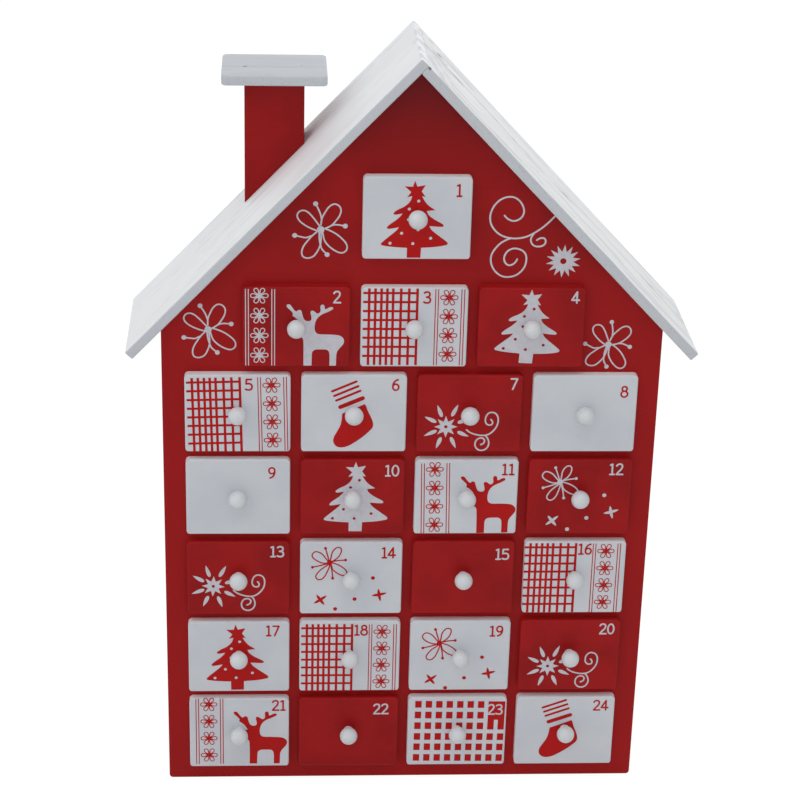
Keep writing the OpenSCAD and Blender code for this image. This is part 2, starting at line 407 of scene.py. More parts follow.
# Small turned and printed things
knobLook = {
    "paint": colour(219, 223, 226),
    "shade": colour(209, 213, 217),
    "drips": (5, 3),
    "roller": (0.8, 2),
    "gloss": 0.4,
    "roughness": 0.42,
    "depth": 0.06,
}
inkRedLook = {
    "ink": colour(184, 22, 22),
    "thin": colour(174, 24, 26),
    "patches": (2.6, 4),
    "uneven": (0.30, 0.62),
    "gloss": 0.12,
    "roughness": 0.5,
}
inkWhiteLook = dict(inkRedLook, ink=colour(205, 205, 212), thin=colour(198, 197, 205), gloss=0.2)


def makeKnobWhite(look=knobLook):
    finish = Finish(bpy.data.materials.new("knobWhite"))
    finish.fix("Specular IOR Level", look["gloss"])
    place = finish.place()
    drips = finish.noise(place, *look["drips"])
    finish.feed("Base Color", finish.mix(drips, look["shade"], look["paint"]))
    finish.feed("Roughness", look["roughness"] + (drips - 0.5) * 0.1)
    rolled = finish.noise(place, *look["roller"])
    finish.feed("Normal", finish.bump(drips + rolled * 0.2, look["depth"]))
    return finish.owner


def makeInk(name, look):
    finish = Finish(bpy.data.materials.new(name))
    finish.fix("Specular IOR Level", look["gloss"])
    cover = finish.ramp(finish.noise(finish.place(), *look["patches"]), *look["uneven"])
    finish.feed("Base Color", finish.mix(cover, look["thin"], look["ink"]))
    finish.feed("Roughness", look["roughness"] + (cover - 0.5) * 0.1)
    return finish.owner


def dress(node, material):
    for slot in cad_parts[node].material_slots:
        slot.material = material


houseRed = makeHouseRed("houseRed", 1)
stackRed = makeHouseRed("stackRed", 0)
capWhite = makeRoofWhite("chimney_cap", alongX, capLook)
redFront = makeFrontPaint("redFront", redFrontLook)
whiteFront = makeFrontPaint("whiteFront", whiteFrontLook)
knobWhite = makeKnobWhite()
inkRed = makeInk("inkRed", inkRedLook)
inkWhite = makeInk("inkWhite", inkWhiteLook)
woodAcross = makeBareWood("plywoodAcross", alongX)
woodUpright = makeBareWood("plywoodUpright", alongZ)
nodeFinishes = {
    "front_panel": houseRed,
    "left_wall": houseRed,
    "right_wall": houseRed,
    "back_panel": woodUpright,
    "base_board": woodAcross,
    "shelves": woodAcross,
    "grid_dividers": woodUpright,
    "attic_dividers": woodUpright,
    "left_roof_board": makeRoofWhite("left_roof_board", (0, -slope, 0), leftRoofLook),
    "right_roof_board": makeRoofWhite("right_roof_board", (0, slope, 0), rightRoofLook),
    "chimney_stack": stackRed,
    "chimney_cap": capWhite,
}
for node, material in nodeFinishes.items():
    dress(node, material)
redDrawers = (2, 4, 7, 10, 12, 13, 15, 20, 22)
allDrawers = range(1, 25)
for number in allDrawers:
    dress(f"drawer_{number:02d}", redFront if number in redDrawers else whiteFront)
    dress(f"knob_{number:02d}", knobWhite)
print("finishes made:", len(bpy.data.materials))


# Sawn edges are eased, each by its own radius in millimetres
easedEdges = {
    "front_panel": 0.5,
    "left_roof_board": 0.8,
    "right_roof_board": 0.8,
    "chimney_stack": 0.6,
    "chimney_cap": 0.9,
    "back_panel": 0.4,
    "base_board": 0.3,
    "shelves": 0.25,
    "grid_dividers": 0.25,
    "attic_dividers": 0.25,
}
edgeLook = {
    "join": 0.001,      # mm
    "flat": 0.5,        # degrees under which two faces are one
    "sharp": 35,        # degrees over which an edge is eased
    "segments": 3,
}


def pickOnly(piece):
    bpy.ops.object.select_all(action="DESELECT")
    piece.select_set(True)
    bpy.context.view_layer.objects.active = piece


def easeEdges(piece, radius, look=edgeLook):
    pickOnly(piece)
    weld = piece.modifiers.new("joinCorners", "WELD")
    weld.merge_threshold = look["join"] * mm
    flat = piece.modifiers.new("clearFlats", "DECIMATE")
    flat.decimate_type = "DISSOLVE"
    flat.angle_limit = math.radians(look["flat"])
    ease = piece.modifiers.new("easeEdges", "BEVEL")
    ease.width = radius * mm
    ease.segments = look["segments"]
    ease.limit_method = "ANGLE"
    ease.angle_limit = math.radians(look["sharp"])
    even = piece.modifiers.new("evenShading", "WEIGHTED_NORMAL")
    even.weight = 100


for node, radius in easedEdges.items():
    easeEdges(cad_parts[node], radius)
print("edges eased:", len(easedEdges))


# Prints: flat shapes of ink, drawn in millimetres from the lower left corner of a drawer's
# front, x to the right and y up. A print is a list of layers, each a list of closed outlines,
# and an outline inside another one is a hole.
printLook = {
    "thick": 0.12,          # mm, half of it in the paint
    "layer": 0.02,          # each further layer stands this much prouder
    "smooth": 8,            # steps of a bent stretch
    "between": 4,           # steps from point to point of a curve
    "join": 0.0005,         # mm between corners that are one
}


def drawn(start, *moves):       # a move is (x, y), or (control x, control y, x, y) where it bends
    points = [Vector(start)]
    for move in moves:
        last, end = points[-1], Vector(move[-2:])
        if len(move) == 4:
            control = Vector(move[:2])
            for step in range(1, printLook["smooth"]):
                share = step / printLook["smooth"]
                points.append(last.lerp(control, share).lerp(control.lerp(end, share), share))
        points.append(end)
    return points


# Curve through points; a point with a third value is a corner
def through(points, closed=True):
    places = [Vector(point[:2]) for point in points]
    corners = [len(point) > 2 for point in points]
    count = len(points)
    if not closed:
        corners[0] = corners[-1] = True
    path = []
    for step in range(count if closed else count - 1):
        ahead = (step + 1) % count
        start, end = places[step], places[ahead]
        reach = (end - start).length
        leave = end - start if corners[step] else end - places[step - 1]
        arrive = end - start if corners[ahead] else places[(step + 2) % count] - start
        leave, arrive = leave.normalized() * reach, arrive.normalized() * reach
        for part in range(printLook["between"]):
            share = part / printLook["between"]
            back = 1 - share
            path.append(start * back * back * (1 + 2 * share) + end * share * share * (1 + 2 * back)
                        + leave * share * back * back - arrive * share * share * back)
    return path if closed else path + [places[-1]]


def polar(centre, angle, radius):
    turn = math.radians(angle)
    return Vector((centre[0] + radius * math.cos(turn), centre[1] + radius * math.sin(turn)))


def disc(centre, radius, steps=20):
    return [polar(centre, 360 * step / steps, radius) for step in range(steps)]


def bar(left, low, right, high):
    return [Vector(corner) for corner in ((left, low), (right, low), (right, high), (left, high))]


def starShape(centre, tips, outer, inner, turn=90):
    half = 180 / tips
    return [polar(centre, turn + half * step, inner if step % 2 else outer) for step in range(2 * tips)]


# Outline of a pen line of even width with round ends
def penLine(path, width):
    points = [Vector(point) for point in path]
    last = len(points) - 1
    sides = []
    for step in range(last + 1):
        ahead = (points[min(step + 1, last)] - points[max(step - 1, 0)]).normalized()
        sides.append(Vector((-ahead.y, ahead.x)) * width / 2)

    def roundEnd(centre, side):
        return [centre + Matrix.Rotation(-math.pi * step / 6, 2) @ side for step in range(1, 6)]
    left = [point + side for point, side in zip(points, sides)]
    right = [point - side for point, side in zip(points, sides)]
    return left + roundEnd(points[-1], sides[-1]) + right[::-1] + roundEnd(points[0], -sides[0])


# Leaf from one radius to another, at an angle round a centre; a low point value makes it blunt.
# The crest is the greatest value of its curve at a point value of 0.5
def leaf(centre, angle, root, tip, half, point=0.5, steps=26):
    crest = 0.77
    outline = []
    for step in range(steps):
        turn = 2 * math.pi * step / steps
        along = (1 - math.cos(turn)) / 2
        across = half * math.sin(turn) * along ** point / crest
        reach = root + (tip - root) * along
        outline.append(Vector(centre) + Matrix.Rotation(math.radians(angle), 2) @ Vector((reach, across)))
    return outline


def petalLoop(centre, angle, length, half, stroke):     # drawn round with a pen
    inset = 0.75 * stroke * length / half
    return [leaf(centre, angle, 0.2, length, half),
            leaf(centre, angle, inset, length - stroke, half - stroke)]


treeLook = {
    "baubles": (
        (29, 32.3), (24.2, 27.9), (23.9, 22), (20.5, 14.5), (14.5, 8.9), (26.5, 8.8), (35.8, 11.8),
        (29.1, 16.5)),
    "bauble": 0.85,
    "outline": (
        (26.9, 43.4, 1), (28.1, 40.2, 1), (32.4, 41, 1), (30.4, 37.7, 1), (32.5, 34.6, 1), (30.7, 35, 1),
        (31.7, 33), (34.2, 29.9), (37.8, 27.4, 1), (33.3, 26.9, 1), (34.2, 24.9), (37.2, 22.4), (41.2, 20.1),
        (42.4, 19), (41.8, 18.2), (34.9, 18.6, 1), (36, 16.6), (40.2, 13.1), (44.3, 9.9), (44.9, 8.8),
        (43.9, 8), (38.2, 7), (30.9, 6.5, 1), (30.7, 0.9, 1), (23.5, 0.9, 1), (23.5, 6.4, 1), (16.1, 6.9),
        (10.5, 7.7), (9.7, 8.4), (10.4, 9.5), (14.1, 12.8), (17.8, 16.1), (19, 17.8, 1), (13.5, 16.9),
        (12.7, 17.6), (14.3, 19.4), (17.6, 21.9), (19.8, 24.1), (20.7, 25.4, 1), (16.6, 24.8), (16, 25.6),
        (18.1, 27.4), (21.1, 28.9), (23.6, 30.9), (24.9, 32.9), (25.5, 35, 1), (22.9, 34.4, 1),
        (25, 37.2, 1), (21.5, 40.3, 1), (25.8, 40.1, 1)),
}


def christmasTree(look=treeLook):
    baubles = [disc(place, look["bauble"], 12) for place in look["baubles"]]
    return [[through(look["outline"])] + baubles]


def reindeer():
    return [[through((
        (32.3, 0.9, 1), (32.2, 15), (31.6, 16.9), (30, 18), (26.5, 19), (25.3, 21), (26.6, 22.7),
        (31.2, 24, 1), (29.6, 26.8), (28, 28.4), (26.4, 29.6), (26.5, 31), (25.4, 32.5), (23.4, 34.6),
        (23.3, 35.7), (24.3, 36.1), (25.3, 35.6), (27, 33.2), (28.3, 32.1), (29.2, 32.7), (30.3, 32.9),
        (31.1, 32.1), (31.5, 30.5), (32.1, 28.4), (33, 27), (34.4, 26.5), (35.8, 26.8), (36.4, 27.8),
        (36.2, 29.8), (35.9, 31.7), (36.7, 32.5), (38, 32), (39.3, 31), (40.4, 31.1), (41.2, 32.3),
        (41.1, 35.1), (42.1, 36), (43.2, 35.3), (43.4, 33.6), (44, 33.4), (46, 34.4), (47.3, 34.6),
        (47.9, 33.9), (47.3, 33.1),
        (45, 31.8), (42.5, 30.7), (40.5, 29.3), (39.2, 27.6), (38.4, 25.5), (38.1, 22.8), (38.4, 20.8),
        (39.2, 19.6), (41, 19), (45, 18.9), (50, 18.6), (52.2, 17.9), (53.6, 16.4), (53.9, 14.8),
        (53.3, 13.2), (51.9, 11.4), (50.7, 9.8), (50, 8.2), (49.8, 5), (49.7, 0.9, 1), (46.2, 0.9, 1),
        (46.2, 7.6), (45.6, 9.4), (44.3, 10.2), (41.8, 10.3), (39, 10.2), (37.4, 9.4), (36.8, 7.8),
        (36.6, 0.9, 1)))]]


bandLook = {
    "lines": (-7.3, -5.8, 6.6, 8.1),    # from the middle of the flowers
    "line": 0.5,
    "low": 0.9,
    "high": 44.7,
    "flowers": 4,
    "petals": 6,
    "petal": (4.9, 1.38, 0.5),          # length, half width, stroke
    "heart": 0.6,
}


def flowerBand(middle, lowest, step, look=bandLook):
    half = look["line"] / 2
    middles = [middle + line for line in look["lines"]]
    lines = [bar(line - half, look["low"], line + half, look["high"]) for line in middles]
    layers = [lines, [], []]
    for flower in range(look["flowers"]):
        centre = (middle, lowest + step * flower)
        for petal in range(look["petals"]):
            layers[petal % 2] += petalLoop(centre, 360 / look["petals"] * petal, *look["petal"])
        layers[2].append(disc(centre, look["heart"], 12))
    return layers


ginghamLook = {
    "upright": (4.2, 7.5, 10.7, 13.8, 16.9, 21.1, 25.4, 29.8),
    "level": (6.3, 11.6, 16.8, 21.9, 27, 32.1, 37.3, 42.4),
    "width": (1.38, 1.28),
    "start": 1,         # of every stripe, from the front's edge
    "top": 45,
}


def gingham(look=ginghamLook):
    wide, high = (width / 2 for width in look["width"])
    start, right = look["start"], look["upright"][-1] + wide
    upright = [bar(place - wide, start, place + wide, look["top"]) for place in look["upright"]]
    level = [bar(start, place - high, right, place + high) for place in look["level"]]
    return [upright, level]


stockingLook = {
    "stripe": ((16.6, 36), (29.6, 41.8)),       # ends of the highest one
    "lower": ((1.15, -2.72), (1.1, -2.72)),     # from there to the ends of the next one
    "stripes": 3,
    "stripeWidth": 1.3,
    "cuff": ((21.1, 26.7), (33.2, 32)),
    "cuffWidth": 2.35,
    "foot": (
        (22.2, 22.8, 1), (28.6, 25.7), (34.3, 28.5, 1), (35, 27.5), (36.1, 24.4), (38.2, 19.9),
        (39.1, 16.8), (38.7, 14.4), (36.6, 11.9), (33.1, 8.6), (29.1, 5.6), (25.6, 3.5), (22.1, 2.6),
        (19.5, 3.2), (18, 4.8), (17.5, 6.8), (18, 9.1), (19.5, 12.1), (21.1, 15.4), (21.9, 18.9)),
}


def stocking(look=stockingLook):
    shapes = []
    for step in range(look["stripes"]):
        ends = [Vector(end) + Vector(lower) * step for end, lower in zip(look["stripe"], look["lower"])]
        shapes.append(penLine(ends, look["stripeWidth"]))
    return [shapes + [penLine(look["cuff"], look["cuffWidth"]), through(look["foot"])]]


starburstLook = {
    "centre": (15.9, 15.1),
    "star": (8, 6.4, 3.2),          # tips, and radius of the tips and of the notches
    "hole": 0.95,
    "half": 1.1,
    "stroke": 0.85,
    "petals": (     # angle, and radius of the root and of the tip
        (20, 6.8, 13.6), (64, 6.9, 14.8), (110.8, 6.3, 13.8), (152.5, 5.9, 13.2), (204.5, 5.4, 13),
        (248.6, 6.7, 14), (-66, 6.8, 14.1), (-25, 7, 14)),
    "large": (
        (27.3, 13.2), (29, 11.8), (31, 10.8), (34, 10), (36, 9.8), (38, 10), (40, 10.8), (42.3, 13),
        (43.8, 15.5), (44.4, 18.5), (44.1, 21), (43, 22.8), (41, 23.6), (39.3, 23.2), (38, 21.8),
        (37.4, 19.5), (37.6, 17.6), (38.5, 16.4), (39.8, 16), (41, 16.4), (41.4, 17.5), (41, 18.7),
        (40.4, 19.3)),
    "small": (
        (37.6, 9.9), (39, 8), (39.7, 5.5), (39.3, 3.2), (37.8, 1.4), (35.5, 0.8), (33.3, 1.8), (32.2, 4),
        (32.5, 6.3), (33.7, 7.8), (35.5, 8.3), (37, 7.6), (37.3, 6.2), (36.6, 4.9), (35.3, 4.3)),
}


def starburst(look=starburstLook):
    centre = look["centre"]
    petals = [leaf(centre, angle, tip, root, look["half"]) for angle, root, tip in look["petals"]]
    star = [starShape(centre, *look["star"]), disc(centre, look["hole"], 12)]
    large, small = (penLine(through(look[curl], False), look["stroke"]) for curl in ("large", "small"))
    return [petals + star + [large], [small]]


# Flowers of four petals and four stamens, drawn with a pen through points measured from the heart
drawerFlowerLook = {
    "petals": (
        ((-0.7, 0.9), (-1.5, 1.8), (-4.4, 5.5), (-7.6, 6.9), (-9.4, 5.7), (-9.7, 3.9), (-8.1, 1.9),
         (-4.5, -0.1), (-1.5, -0.5)),
        ((0.1, 0.9), (0.6, 2.3), (1.4, 6.4), (3.4, 9.1), (5.4, 9.5), (6.5, 8.2), (5.8, 5), (3.9, 2.5),
         (1.3, 0.7)),
        ((1.6, -0.1), (5.5, -1.8), (8.7, -4.3), (9.8, -6.7), (8.1, -8.2), (4.8, -7), (1.8, -4.3),
         (1.1, -1.9), (0.7, -0.8)),
        ((-0.9, -0.9), (-1.2, -1.6), (-4.9, -4.5), (-7.5, -8.1), (-7.2, -10), (-5.2, -10.8), (-2.8, -9),
         (-1.3, -5.9), (-0.2, -2.9), (0.1, -0.9))),
    "stamens": (
        ((-0.3, 1.3), (-1.3, 4.9), (-2.4, 9)),
        ((1.5, 0.7), (4.8, 1.3), (8.9, 1.6)),
        ((-1.6, -0.8), (-5.4, -1.9), (-9.5, -2.9)),
        ((0.7, -1.9), (1.5, -6.1), (1.8, -9.9))),
    "stroke": 0.72,
    "heart": 1.6,
    "tip": 0.85,
}

gableFlowerLook = {
    "petals": (
        ((-1.2, -0.6), (-3.8, 0.2), (-6, 1.2), (-8, 2.6), (-9, 4.3), (-8.6, 5.8), (-7.2, 6.6), (-5.6, 6.3),
         (-3.8, 4.9), (-2.1, 3.1), (-0.6, 1.4)),
        ((-0.1, 1.8), (0, 4.4), (0.9, 6.8), (2.1, 9), (3.8, 10.2), (5.6, 9.7), (6.5, 8.1), (6.2, 6),
         (5.1, 3.9), (3.7, 2), (1.6, 0.6)),
        ((1.4, 0.6), (3.4, 0), (5.9, -1.1), (8.4, -2.9), (10.1, -4.9), (10.1, -7), (8.5, -8.1), (6.1, -7.5),
         (3.7, -6), (1.9, -4.1), (1.1, -1.9), (0.7, -0.6)),
        ((-1.2, -0.9), (-2.9, -2.8), (-4.3, -4.9), (-5.5, -7.1), (-5.9, -9.4), (-5.2, -11), (-3.4, -11.4),
         (-1.5, -10.5), (-0.3, -8.5), (0.5, -5.9), (0.5, -3), (0.3, -0.6))),
    "stamens": (
        ((-0.1, 4), (-0.7, 5.8), (-1.5, 7.4), (-2.9, 9.6)),
        ((2.2, 0.9), (4, 2.1), (5.7, 2.5), (8.7, 2.3)),
        ((-3.1, -2.7), (-4.9, -3.6), (-6.7, -3.5), (-9.1, -3.2)),
        ((-0.4, -0.8), (-0.1, -3.4), (0.6, -5.9), (1.3, -7.4), (3.4, -9.3))),
    "stroke": 0.72,
    "heart": 1.35,
    "tip": 0.92,
}


def loopFlower(look, centre, size=1.0, turn=0):
    spin = Matrix.Rotation(math.radians(turn), 2) * size
    stroke = look["stroke"] * (0.7 + 0.3 * size)        # a larger one is drawn with a little broader pen

    def penned(line):
        return penLine(through([Vector(centre) + spin @ Vector(point) for point in line], False), stroke)
    layers = [[], [], [], [disc(centre, look["heart"] * size, 16)]]
    for step, petal in enumerate(look["petals"]):
        layers[step % 2].append(penned(petal))
    for stamen in look["stamens"]:
        layers[2].append(penned(stamen))
        layers[3].append(disc(Vector(centre) + spin @ Vector(stamen[-1]), look["tip"] * size, 14))
    return layers


sparkleLook = {
    "arms": (           # middle, then angle and length of each arm
        ((14.2, 8.1), ((41, 4.5), (128, 4), (217, 4.3), (309, 4))),
        ((46.9, 13.4), ((19, 4.5), (100, 3.8), (191, 4.1), (286, 4.2)))),
    "half": 0.75,
    "root": -0.7,       # so far past the middle an arm begins
    "blunt": 0.3,
    "dots": ((42.6, 23.8), (33.4, 9.8), (23, 2.8)),
    "dot": 1.15,
}


def sparkles(look=sparkleLook):
    layers = [[], [], [], []]
    for centre, arms in look["arms"]:
        for layer, (angle, length) in zip(layers, arms):
            layer.append(leaf(centre, angle, length, look["root"], look["half"], look["blunt"], 14))
    layers[0] += [disc(place, look["dot"], 14) for place in look["dots"]]
    return layers


squaresLook = {
    "across": [5.65 + 6.05 * step for step in range(9)],
    "up": (5.2, 12.5, 19.5, 26.8, 34, 41.2),
    "size": (3.7, 4.5),
    "block": (46.2, 31, 55.9, 43.4),        # that carries the number
    "legs": 24.4,       # where the block's two legs end
}


def squares(look=squaresLook):
    wide, high = (size / 2 for size in look["size"])
    left, low, right = look["block"][:3]
    grid = [bar(x - wide, y - high, x + wide, y + high)
            for y in look["up"] for x in look["across"] if x + wide < left or y < look["legs"]]
    legs = [bar(left, look["legs"], left + 2 * wide, low), bar(right - 2 * wide, look["legs"], right, low)]
    return [grid + [bar(*look["block"])], legs]


# Moves a print, and turns it by some degrees round the middle of its front
def shifted(layers, along, up, turn=0):
    low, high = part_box("drawer_01")
    middle = Vector((high.x - low.x, high.z - low.z)) / 2 / mm
    moved = middle + Vector((along, up))
    spin = Matrix.Rotation(math.radians(turn), 2)

    def laid(outline):
        return [spin @ (point - middle) + moved for point in outline]
    return [[laid(outline) for outline in layer] for layer in layers]


def together(*prints):
    layers = [[] for layer in range(max(len(made) for made in prints))]
    for made in prints:
        for layer, outlines in zip(layers, made):
            layer += outlines
    return layers


# Filled outlines as a thin flat mesh
def flatShape(outlines, level, material):
    curve = bpy.data.curves.new("ink", "CURVE")
    curve.dimensions = "2D"
    curve.fill_mode = "BOTH"
    curve.extrude = printLook["thick"] / 2
    for outline in outlines:
        spline = curve.splines.new("POLY")
        spline.points.add(len(outline) - 1)
        for point, place in zip(spline.points, outline):
            point.co = (place.x, place.y, 0, 1)
        spline.use_cyclic_u = True
    shape = bpy.data.objects.new("ink", curve)
    scene.collection.objects.link(shape)
    shape.data.materials.append(material)
    pickOnly(shape)
    bpy.ops.object.convert(target="MESH")
    shape = bpy.context.object
    shape.location.z = level * printLook["layer"]
    bpy.ops.object.transform_apply(location=True, rotation=False, scale=False)
    return shape


# Digits are drawn with a pen round the middle of their foot, each stroke a layer of its own
numberLook = {
    "pen": 0.96,
    "room": (2.3, 1.9),     # half the room of a digit, and of a one
    "rings": {              # middle height, half width and half height
        "0": ((3.6, 1.7, 3.1),),
        "6": ((2.3, 1.6, 1.8),),
        "8": ((5.3, 1.35, 1.35), (2.2, 1.75, 1.75)),
        "9": ((4.9, 1.6, 1.8),),
    },
    "strokes": {
        "1": (((0.2, 0.5), (0.2, 6.7)), ((-0.9, 6.2), (0.2, 6.7)), ((-1, 0.5), (1.3, 0.5))),
        "2": (drawn((-1.6, 5.7), (-1.1, 6.8, 0.1, 6.8), (1.6, 6.7, 1.5, 5.1), (1.3, 3.8, -0.3, 2.3),
                    (-1.5, 0.6)), ((-1.6, 0.5), (1.9, 0.5))),
        "3": (drawn((-1.5, 6.1), (-0.9, 6.8, 0, 6.7), (1.5, 6.6, 1.4, 5.2), (1.3, 3.9, -0.4, 3.8)),
              drawn((-0.4, 3.8), (1.7, 3.7, 1.7, 2.1), (1.6, 0.4, -0.1, 0.5), (-1.2, 0.5, -1.7, 1))),
        "4": (((0.8, 0.5), (0.8, 6.7)), ((0.8, 6.7), (-1.8, 2.2)), ((-1.8, 2.1), (2, 2.1))),
        "5": (((1.4, 6.6), (-1.3, 6.6)), ((-1.3, 6.6), (-1.5, 4)),
              drawn((-1.5, 4), (1.7, 4.7, 1.7, 2.3), (1.6, 0.4, -0.1, 0.5), (-1.2, 0.5, -1.7, 0.9))),
        "6": (drawn((1.2, 6.7), (-1.6, 5.9, -1.6, 2.3)),),
        "7": (((-1.6, 6.6), (1.7, 6.6)), ((1.7, 6.6), (-0.7, 0.5))),
        "9": (drawn((1.6, 4.9), (1.6, 1.2, -1, 0.5)),),
    },
}


def digitLayers(digit, look=numberLook):
    pen = look["pen"]
    layers = []
    for height, wide, high in look["rings"].get(digit, ()):
        layers.append([[Vector((point.x * (wide + edge), height + point.y * (high + edge)))
                        for point in disc((0, 0), 1, 28)] for edge in (pen / 2, -pen / 2)])
    for stroke in look["strokes"].get(digit, ()):
        layers.append([penLine(stroke, pen)])
    return layers


def numberLayers(number, middle, foot):
    digits = str(number)
    rooms = [numberLook["room"][digit == "1"] for digit in digits]
    reach = sum(rooms) / 2 if len(digits) > 1 else 0
    places = (middle - reach, middle + reach)
    return together(*(shifted(digitLayers(digit), place, foot) for digit, place in zip(digits, places)))


# Joins shapes, stands them upright on a face that looks along -Y and gives them to a body
def layPrint(name, shapes, corner, face, body):
    bpy.ops.object.select_all(action="DESELECT")
    for shape in shapes:
        shape.select_set(True)
    bpy.context.view_layer.objects.active = shapes[0]
    bpy.ops.object.join()
    piece = bpy.context.object
    piece.name = name
    bpy.ops.object.mode_set(mode="EDIT")
    bpy.ops.mesh.select_all(action="SELECT")
    bpy.ops.mesh.remove_doubles(threshold=printLook["join"])
    bpy.ops.mesh.normals_make_consistent(inside=False)
    bpy.ops.object.mode_set(mode="OBJECT")
    piece.scale = (mm, mm, mm)
    piece.rotation_euler = (math.pi / 2, 0, 0)
    piece.location = Vector((corner[0], face, corner[1])) * mm
    bpy.ops.object.transform_apply(location=True, rotation=True, scale=True)
    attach(piece, body)
    return piece


# What is printed on each drawer, with the small slips of the real prints
tree = christmasTree()
band = flowerBand(8.75, 6.9, 11.35)
deer = reindeer()
cloth = together(gingham(), flowerBand(46.8, 7.4, 10.85))
burst = starburst()
bloom = together(loopFlower(drawerFlowerLook, (17.6, 32), 1, 3.7), sparkles())
sock = stocking()
drawerPrints = {
    1: tree,
    2: shifted(together(band, deer), 0.1, -0.3),
    3: cloth,
    4: shifted(tree, 0.1, 1.3, -2.6),
    5: shifted(cloth, 0.3, -0.8, 1.3),
    6: sock,
    7: shifted(burst, 0, 0, 0.3),
    10: shifted([tree[0][:-1]], 3.2, 0.9),      # its knob hides the last bauble
    11: together(shifted(band, 2.4, -0.8, 1.1), shifted(deer, 2.3, -0.5, 1.1)),
    12: bloom,
    13: shifted(burst, -1.1, 2, -3.2),
    14: shifted(bloom, -1.8, -0.1, -3.8),
    16: shifted(cloth, -1.1, -0.5),
    17: shifted(tree, 0.1, 0.3, 1),
    18: shifted(cloth, -0.1, -1.2),
    19: shifted(bloom, -1.2, -1.4, -2.6),
    20: shifted(burst, 0.6, 0.7, 0.6),
    21: together(shifted(band, 2.3, 1), shifted(deer, 2.1, 1)),
    23: shifted(squares(), 0, -0.3, -0.7),
    24: shifted(sock, -2.3, 1.7, -3.5),
}


numberPlaces = {        # middle and foot of each number
    1: (50, 34.6), 2: (49.9, 36.4), 3: (35, 36.4), 4: (51.4, 36.7), 5: (34.6, 36.3), 6: (50.9, 36.2),
    7: (52.2, 36.9), 8: (49.8, 32.4), 9: (47, 34.1), 10: (49.8, 35.4), 11: (51.2, 36.1), 12: (48, 36.2),
    13: (49.7, 36), 14: (48.9, 35.1), 15: (49.9, 34), 16: (33.6, 37.1), 17: (47.3, 36), 18: (34.4, 36.2),
    19: (48.7, 35.2), 20: (49.3, 36.3), 21: (51.3, 37.4), 22: (47, 34.6), 23: (50.4, 33.8), 24: (48.8, 36.1),
}


def printDrawer(number):
    red = number in redDrawers
    pale = red or number == 23      # that number stands in a red block
    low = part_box(f"drawer_{number:02d}")[0] / mm
    layers = drawerPrints.get(number, [])
    ink = inkWhite if red else inkRed
    shapes = [flatShape(outlines, level, ink) for level, outlines in enumerate(layers)]
    for level, outlines in enumerate(numberLayers(number, *numberPlaces[number]), len(layers)):
        shapes.append(flatShape(outlines, level, inkWhite if pale else inkRed))
    layPrint(f"drawer{number:02d}Print", shapes, (low.x, low.z), frontFace,
             f"drawer_{number:02d}")


for number in allDrawers:
    printDrawer(number)
print("drawers printed:", len(allDrawers))


# Ornaments painted on the gable, in millimetres from the middle of the house's foot
gableLook = {
    "stroke": 0.92,
    # centre, size and turn of each
    "flowers": (((-50.3, 339), 1.45, -5.8), ((-109.8, 282.2), 1.42, 0), ((105.8, 274.2), 1.31, -21.3)),
    "curls": (
        ((46.3, 347.4), (47.4, 346.1), (49, 345), (51.1, 344.4), (53.3, 344.9), (55.3, 346.4),
         (56.4, 348.9), (56.2, 351.5), (55, 354.1), (53.2, 356.2), (50.5, 357.6), (47.2, 357.6),
         (43.9, 356.2), (41.3, 353.7), (39.5, 350.5), (38.7, 346.8), (39.2, 343), (41, 339.8),
         (43.8, 337.1), (47.3, 335.4), (51.2, 334.7), (54.6, 334.8), (58.5, 335.7), (62.4, 337.8),
         (66.3, 340.5), (69.8, 343.7), (73.1, 347.3)),
        ((50.4, 334.8), (48, 333.9), (45, 332.1), (42.4, 329.3), (40.4, 325.8), (40, 322.2), (41, 318.5),
         (43.2, 315.5), (46, 313.5), (49.1, 312.9), (53, 313.6), (56.1, 315.8), (58.2, 318.9),
         (58.9, 322.2), (58.6, 325.3), (57.1, 327.5), (54.4, 328.8), (51.7, 329), (49.1, 327.8),
         (47.6, 325.8), (47, 323.6), (47.5, 321.4), (48.9, 319.9), (50.5, 319.6), (52.2, 320.4),
         (53.4, 321.7), (54, 323)),
        ((62.4, 337.6), (61.3, 335.9), (60.8, 334), (61.3, 332.1), (62.6, 330.7), (64.4, 330.2),
         (66.8, 330.5), (68.4, 331.8), (68.7, 333.5), (68, 334.7), (66.4, 335), (65, 334.5), (64, 333.8))),
    "sun": (78.7, 322),
    "rays": (14, 9.3, 5.3, 86.3),       # count, radius of the tips and of the notches, turn
    "hole": 1.7,
}


def makeGable(look):
    flowers = [loopFlower(gableFlowerLook, *flower) for flower in look["flowers"]]
    sun = [[starShape(look["sun"], *look["rays"]), disc(look["sun"], look["hole"], 16)]]
    curls = [[penLine(through(curl, False), look["stroke"])] for curl in look["curls"]]
    layers = together(*flowers, curls, sun)
    shapes = [flatShape(outlines, level, inkWhite) for level, outlines in enumerate(layers)]
    layPrint("gableOrnaments", shapes, (0, 0), panelFace, "house")


makeGable(gableLook)
print("gable painted")


# Brads of the roof boards and of the cap, set a little into the wood and painted over
nailLook = {
    "radius": 0.9,
    "proud": 0.12,
    "deep": 0.5,
    "rim": 0.45,                    # share of the radius outside the head's hollow
    "hollow": 0.5,                  # share of the proud height that it is deep
    "fromRidge": (28, 105, 186),
    "rows": (-33.6, 33.6),          # over the front and back panels
    "onCap": ((-89, 18.5), (-60, 18.5)),
}


